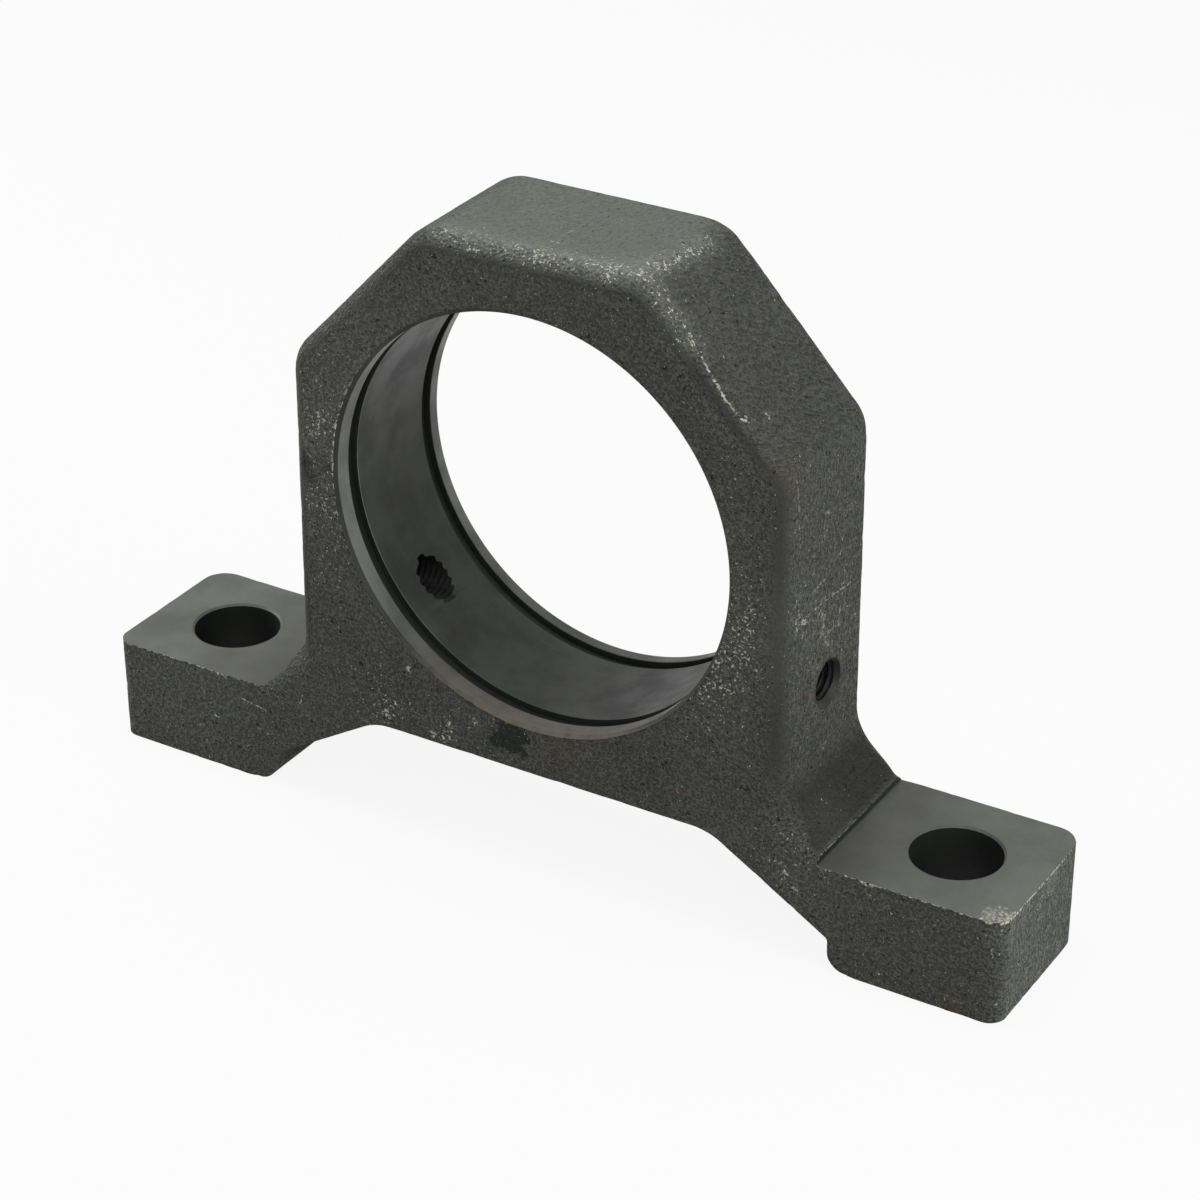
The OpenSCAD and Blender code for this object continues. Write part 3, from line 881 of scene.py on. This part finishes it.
def cast_skin(look, groups):
    """The sand cast skin: grain and pits, clouding, worn specks and rims, pale marks, rust and a splash,
    with painted shade in the hollows and pits, painted highlights on the raised grain and the crest, painted
    glints among the specks, and painted light and shade in the tone.
    """
    material, tree, shader = surface("cast_skin", 0.12)
    place = object_place(tree)
    height, pits = sand_grain(tree, place, attribute(tree, "upright"), attribute(tree, "grain"))
    cloud = use(tree, groups["mottle"], place, Scale=30.0, Low=0.93, High=1.07)
    # Painted shade and highlight in the grain: hollows take the darker skin and raised grain the paler one,
    # and pits go near black.
    base = blend(tree, ramp(tree, height, -0.14, 0.14), opaque(look.skin), opaque(look.skin_pale))
    base = blend(tree, product(tree, pits, 0.85), base, opaque(look.skin_dark))
    # The tone attribute paints light and shade: paler and darker faces, light on the front's left, the
    # crest's highlight and the shade of the rounded edge's band, beside the skin's own tone.
    base = toned(tree, base, product(tree, cloud, attribute(tree, "tone")))
    base = blend(tree, attribute(tree, "stain"), base, opaque(look.rust))
    splash = use(tree, groups["smudge"], place, **SPLASH)
    base = blend(tree, product(tree, splash, 0.97), base, opaque(look.groove))
    # Pale specks: worn bare iron and painted glints, gathered by the sparkle attribute.
    specks = product(tree, glint_and_wear_specks(tree, place, attribute(tree, "sparkle")), 0.75)
    broken = ramp(tree, noise(tree, place, 900.0, 2.0, 0.6), 0.42, 0.6)
    bare = work_out(tree, "MAXIMUM", specks, product(tree, attribute(tree, "worn"), broken))
    bare = struck(tree, place, groups["stroke"], STROKES, bare)
    base = blend(tree, bare, base, opaque(look.bare))
    rusty = struck(tree, place, groups["stroke"], RUST_SPOTS, 0.0)
    base = blend(tree, rusty, base, opaque(look.fresh_rust))
    rough = ramp(tree, height, -0.15, 0.15, 0.85, 0.6)
    finish_off(tree, shader, base, rough, height, 2.5 * MM)
    return material


def satin(name, rgb, rough, look, groups, tone=None):
    """A machined surface: clouding, fine grain, and bare iron at the rubbed corner of the right pad."""
    material, tree, shader = surface(name, 0.25)
    place = object_place(tree)
    cloud = use(tree, groups["mottle"], place, Scale=60.0, Low=0.8, High=1.16)
    fine = noise(tree, place, 1500.0, 2.0)
    level = product(tree, cloud, ramp(tree, fine, 0.2, 0.8, 0.93, 1.07))
    if tone:
        level = product(tree, level, tone(tree, place))
    base = toned(tree, rgb, level)
    rubbed = use(tree, groups["smudge"], place, **CORNER)
    crumbs = ramp(tree, noise(tree, place, 1300.0, 2.0, 0.7), 0.4, 0.75)
    base = blend(tree, product(tree, product(tree, rubbed, crumbs), 0.7), base, opaque(look.bare))
    finish_off(tree, shader, base, ramp(tree, fine, 0.3, 0.7, rough - 0.05, rough + 0.05), fine, 0.03 * MM)
    return material


def bored(name, rgb, rough, look, groups, tone=None):
    """A bored surface: fine rings left by the tool, faint clouding and grime low in the front mouth."""
    material, tree, shader = surface(name, 0.22)
    place = object_place(tree)
    lines = noise(tree, stretched(tree, place, (0.02, 1, 0.02)), 2400.0, 3.0, 0.6)
    cloud = use(tree, groups["mottle"], place, Scale=75.0, Low=0.72, High=1.28)
    level = product(tree, cloud, ramp(tree, lines, 0.25, 0.75, 0.92, 1.08))
    if tone:
        level = product(tree, level, tone(tree, place))
    base = toned(tree, rgb, level)
    low = ramp(tree, coordinate(tree, place, "Z"), 62 * MM, 46 * MM)
    film = product(tree, low, ramp(tree, coordinate(tree, place, "Y"), -16 * MM, -19 * MM))
    film = product(tree, film, ramp(tree, noise(tree, place, 300.0, 2.0), 0.2, 0.6, 0.4, 0.9))
    base = blend(tree, film, base, opaque(look.grime))
    gloss = ramp(tree, cloud, 0.75, 1.25, rough + 0.06, rough - 0.04)
    finish_off(tree, shader, base, gloss, lines, 0.02 * MM)
    return material


def pad_shade_and_light(tree, place):
    """Painted shade darkens both pads at their steps, and painted light makes the right one paler at its
    end.
    """
    across = coordinate(tree, place, "X")
    left_step = ramp(tree, across, -118 * MM, -90 * MM, 1.0, 0.72)
    far_end = ramp(tree, across, 88 * MM, 135 * MM, 0.0, 0.32)
    return work_out(tree, "ADD", left_step, far_end)


def seat_shade(tree, place):
    """The seat is a little darker on the right: painted shade from the ring above."""
    return ramp(tree, coordinate(tree, place, "X"), -10 * MM, 40 * MM, 1.0, 0.74)


def land_tone(tree, place):
    """The lands are paler half way up and darker towards the bottom."""
    return ramp(tree, coordinate(tree, place, "Z"), 45 * MM, 95 * MM, 0.5, 1.05)


# The crest of the ring, where a painted highlight makes the skin paler and brings out pale specks: along the
# top's front edge, then back along the top's right end, and down the front edge of the right slant.
CREST = [
    (-26, -21, 182), (-19, -21, 182), (-12, -21, 182), (-5, -21, 182), (2, -21, 182), (9, -20, 182),
    (16, -20, 182), (23, -20, 182), (30, -18, 182), (31, -11, 182), (32, -4, 182), (33, 3, 181),
    (33, 10, 181), (36, -19, 178), (41, -19, 173), (46, -19, 168),
]
# Places in millimetres where the skin looks paler or darker, each with its radius and what it adds. The
# large pale ones on the front's left are painted light from the left, and the small dark ones in the hollows
# are painted shade.
TONE_AND_PAINTED_LIGHT = [
    ((-70, FRONT, 118), 22, 0.3),
    ((-45, FRONT, 150), 20, 0.28),
    ((-115, FRONT, 20), 25, 0.18),
    ((20, FRONT, 38), 40, -0.08),
    ((-69.5, FRONT, 107.0), 2.8, -0.6),
    ((-68.5, FRONT, 102.5), 2.2, -0.55),
    ((-62.0, FRONT, 107.0), 1.4, -0.7),
    ((84, -10, 38), 9, 0.2),
    ((141, -12, 29), 5, 0.5),
    ((141, 4, 29), 5, 0.4),
    ((138, -22, 27), 5, 0.4),
    ((-48, FRONT, 40), 12, -0.1),
    ((62, FRONT, 95), 20, 0.22),
    ((84, FRONT, 26), 10, 0.12),
]
# Where the pale specks gather, partly as painted glints: a place in millimetres, the radius, and what it
# adds.
SPARKLES = [
    ((-70, FRONT, 120), 18, 0.42),
    ((-66, FRONT, 94), 9, 0.42),
    ((75, -11, 93.5), 3, 0.55),
    ((-64, FRONT, 75), 12, 0.15),
    ((-46, FRONT, 38), 7, 0.4),
    ((-28, FRONT, 36), 6, 0.3),
    ((62, FRONT, 95), 16, 0.3),
    ((56, FRONT, 75), 12, 0.3),
    ((75, 0, 95), 30, 0.25),
    ((80, FRONT, 28), 8, 0.3),
    ((141, 0, 18), 24, 0.24),
]
STAINS = [
    ((10, FRONT, 42), 12, 0.15),
    ((128, FRONT, 0), 4, 0.35),
    ((73.5, -18.5, 138.5), 4, 0.2),
]
RUBS = [
    ((110, FRONT, 31), 24, 1.7),
    ((139, -22, 31), 9, 2),
    ((141, 0, 31), 20, 1.5),
    ((-115, FRONT, 31), 24, 1.3),
    ((-59, FRONT, 113), 20, 1.4),
]


def gathered(points, listed):
    """The sum of the listed bells, each times what it adds."""
    return sum(amount * bell(points, place, radius) for place, radius, amount in listed)


def mark_skin(piece):
    """Stores where the skin is paler or darker, partly as painted light and shade, smoother, sparkling with
    painted glints and pale specks, stained, or rubbed at the rims of the cuts.

    A dark smooth band follows the ring's rounded front edge, as a bell curve of side about middle; its
    smoothness is the skin's own and its darkness is painted shade. It is wider and lies further round on the
    upright right edge. It ends above the feet and before the sides.
    """
    places = point_places(piece)
    side = point_values(piece, "side")
    x, y, z = places.T / MM
    ring = (y < 0) * np.clip((z - 40) / 15, 0, 1)
    upright = np.clip((x - 60) / 5, 0, 1) * np.clip((142 - z) / 6, 0, 1)
    middle = 0.27 + 0.18 * np.clip((x - 28) / 10, 0, 1) + 0.1 * upright
    band = np.exp(-(((side - middle) / (0.17 + 0.2 * upright)) ** 2))
    band *= np.clip((0.98 - side) / 0.06, 0, 1) * ring
    # The crest gets a painted highlight: paler tone and more specks.
    crest = gathered(places, [(place, 4, 1) for place in CREST])
    # The band's darkening of the tone is painted shade.
    tone = point_values(piece, "tone") * (1 - (0.64 - 0.1 * upright) * band)
    store_values(piece, "tone", tone + gathered(places, TONE_AND_PAINTED_LIGHT) + 0.5 * crest)
    store_values(piece, "grain", point_values(piece, "grain") * (1 - 0.85 * band))
    sparkle = 0.12 * (y < -22) + gathered(places, SPARKLES)
    store_values(piece, "sparkle", sparkle * (1 - band) + 0.55 * crest)
    store_values(piece, "stain", gathered(places, STAINS))
    store_values(piece, "worn", rim_values(piece.data, 0) * (0.12 + gathered(places, RUBS)))


class HOUSING_OT_casting(bpy.types.Operator):
    """Casts the housing and machines its bore, grooves, ports, bolt holes, pads and base"""

    bl_idname = "housing.casting"
    bl_label = "Bearing housing"

    def execute(self, context):
        scene = context.scene
        s, m = scene.casting_sizes, scene.machining_sizes
        skin, look = scene.skin_settings, scene.finish_settings
        groups = {"mottle": mottle_group(), "stroke": stroke_group(), "smudge": smudge_group()}
        piece = raw_casting(s, skin, cast_skin(look, groups))
        pad = satin("milled_pad", look.pad, 0.5, look, groups, tone=pad_shade_and_light)
        seat = bored("bored_seat", look.seat, 0.45, look, groups, tone=seat_shade)
        land = bored("bored_land", look.land, 0.4, look, groups, tone=land_tone)
        chamfer = bored("bored_chamfer", look.chamfer, 0.5, look, groups)
        groove = satin("ring_groove", look.groove, 0.6, look, groups)
        hole = satin("drilled_hole", look.hole, 0.5, look, groups)
        thread = satin("thread", look.thread, 0.6, look, groups)
        over = m.overrun
        cut(piece, bore_tool(s, m, [seat, land, chamfer, groove]))
        for corners in pad_plans(s, m):
            # The steps' walls take the dark groove finish as painted shade along the steps.
            cut(piece, milled("pad_tool", corners, m.pad_height, m.pad_height + 4 * over, [pad, groove]))
        end, deep = s.length / 2 + over, s.depth / 2 + over
        base = [(x * end, y * deep, 0) for x, y in ((-1, 1), (1, 1), (1, -1), (-1, -1))]
        cut(piece, milled("base_tool", base, -4 * over, 0, [pad, pad]))
        for side, port in ((1, "right_port"), (-1, "left_port")):
            cut(piece, bolt_tool(side, m, [pad, hole]))
            cut(piece, port_tool(side, MOUNTS[port]["pos_m"], s, m, [thread, hole]))
        if len(piece.data.polygons) < 1000:
            raise RuntimeError("the casting was lost while it was machined")
        mark_skin(piece)
        piece.name = "housing_casting"
        context.view_layer.objects.active = piece
        piece.select_set(True)
        bpy.ops.object.shade_smooth_by_angle(angle=math.radians(32))
        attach(piece, "root")
        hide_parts(NODE)
        return {"FINISHED"}


class HOUSING_OT_stage(bpy.types.Operator):
    """Sets up the floor, the lamps, the world and the camera"""

    bl_idname = "housing.stage"
    bl_label = "Stage"

    def execute(self, context):
        stage = context.scene.stage_settings
        make_floor(stage)
        make_world(context.scene, stage)
        make_lamps(stage)
        make_camera(context.scene, stage)
        context.scene.view_settings.view_transform = "Standard"
        return {"FINISHED"}


def seen_directly(tree):
    """One for camera, glossy and transmission rays, and zero for the rest."""
    path = put(tree, "ShaderNodeLightPath").outputs
    either = work_out(tree, "MAXIMUM", path["Is Camera Ray"], path["Is Glossy Ray"])
    return work_out(tree, "MAXIMUM", either, path["Is Transmission Ray"])


def make_floor(stage):
    """A wide pale floor. To the camera it is mostly its own white, and the rest takes the shadow."""
    half = 6.0
    points = np.array([[-half, -half, 0], [half, -half, 0], [half, half, 0], [-half, half, 0]])
    material, tree, shader = surface("floor", 0.0)
    shader.inputs["Base Color"].default_value = opaque(stage.floor)
    shader.inputs["Roughness"].default_value = 0.9
    glow = put(tree, "ShaderNodeEmission", {"Color": (1, 1, 1, 1), "Strength": 1.0}).outputs[0]
    own_white = product(tree, seen_directly(tree), 0.9)
    mixed = put(tree, "ShaderNodeMixShader", {0: own_white, 1: shader.outputs[0], 2: glow}).outputs[0]
    tree.links.new(mixed, tree.nodes["Material Output"].inputs["Surface"])
    mesh_object("floor", points, [np.array([[0, 1, 2, 3]])], [material])


def make_world(scene, stage):
    """Plain light from all round, which is white where it is seen directly."""
    world = bpy.data.worlds.new("studio")
    world.use_nodes = True
    tree = world.node_tree
    background = tree.nodes["Background"]
    background.inputs["Color"].default_value = (1, 1, 1, 1)
    strength = ramp(tree, seen_directly(tree), 0.0, 1.0, stage.ambient, 1.0)
    tree.links.new(strength, background.inputs["Strength"])
    scene.world = world


def make_lamps(stage):
    """Soft lamps: a large one overhead, a low one on each side, and a weak one in front."""
    aim = Vector(stage.target)
    for name, place, width, watts in (
        ("overhead", (0.0, 0.1, 1.3), 0.8, stage.overhead),
        ("right", (1.2, -0.1, 0.5), 0.5, stage.right),
        ("left", (-1.2, -0.1, 0.6), 0.5, stage.left),
        ("front", (0.5, -0.9, 0.8), 0.5, stage.front),
    ):
        data = bpy.data.lights.new(name, "AREA")
        data.size = width
        data.energy = watts
        lamp = bpy.data.objects.new(name, data)
        lamp.location = place
        lamp.rotation_mode = "QUATERNION"
        lamp.rotation_quaternion = (Vector(place) - aim).to_track_quat("Z", "Y")
        bpy.context.scene.collection.objects.link(lamp)


def make_camera(scene, stage):
    """The camera looks at its target from azimuth and elevation, turned by roll about its own axis."""
    a, e = stage.azimuth, stage.elevation
    back = Vector((math.sin(a) * math.cos(e), -math.cos(a) * math.cos(e), math.sin(e)))
    data = bpy.data.cameras.new("camera")
    data.lens = stage.lens
    data.sensor_width = 36
    camera = bpy.data.objects.new("camera", data)
    camera.location = Vector(stage.target) + stage.distance * back
    level = back.to_track_quat("Z", "Y").to_matrix()
    camera.rotation_euler = (level @ level.Rotation(stage.roll, 3, "Z")).to_euler()
    scene.collection.objects.link(camera)
    scene.camera = camera


class HOUSING_PT_panel(bpy.types.Panel):
    """Lists the steps that build the housing"""

    bl_idname = "HOUSING_PT_panel"
    bl_label = "Bearing housing"
    bl_space_type = "VIEW_3D"
    bl_region_type = "UI"
    bl_category = "Housing"

    def draw(self, context):
        for operator in (HOUSING_OT_casting, HOUSING_OT_stage):
            self.layout.operator(operator.bl_idname)
        for settings in SETTINGS:
            box = self.layout.box()
            group = getattr(context.scene, settings)
            for key in group.bl_rna.properties.keys():
                if key not in ("rna_type", "name"):
                    box.prop(group, key)


SETTINGS = {
    "casting_sizes": CastingSizes,
    "machining_sizes": MachiningSizes,
    "skin_settings": SkinSettings,
    "finish_settings": FinishSettings,
    "stage_settings": StageSettings,
}
CLASSES = (*SETTINGS.values(), HOUSING_OT_casting, HOUSING_OT_stage, HOUSING_PT_panel)


def register():
    for each in CLASSES:
        bpy.utils.register_class(each)
    for name, group in SETTINGS.items():
        setattr(bpy.types.Scene, name, PointerProperty(type=group))


def unregister():
    for name in SETTINGS:
        delattr(bpy.types.Scene, name)
    for each in reversed(CLASSES):
        bpy.utils.unregister_class(each)


def main():
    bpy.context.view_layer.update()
    register()
    bpy.ops.housing.casting()
    bpy.ops.housing.stage()


if __name__ == "__main__":
    main()
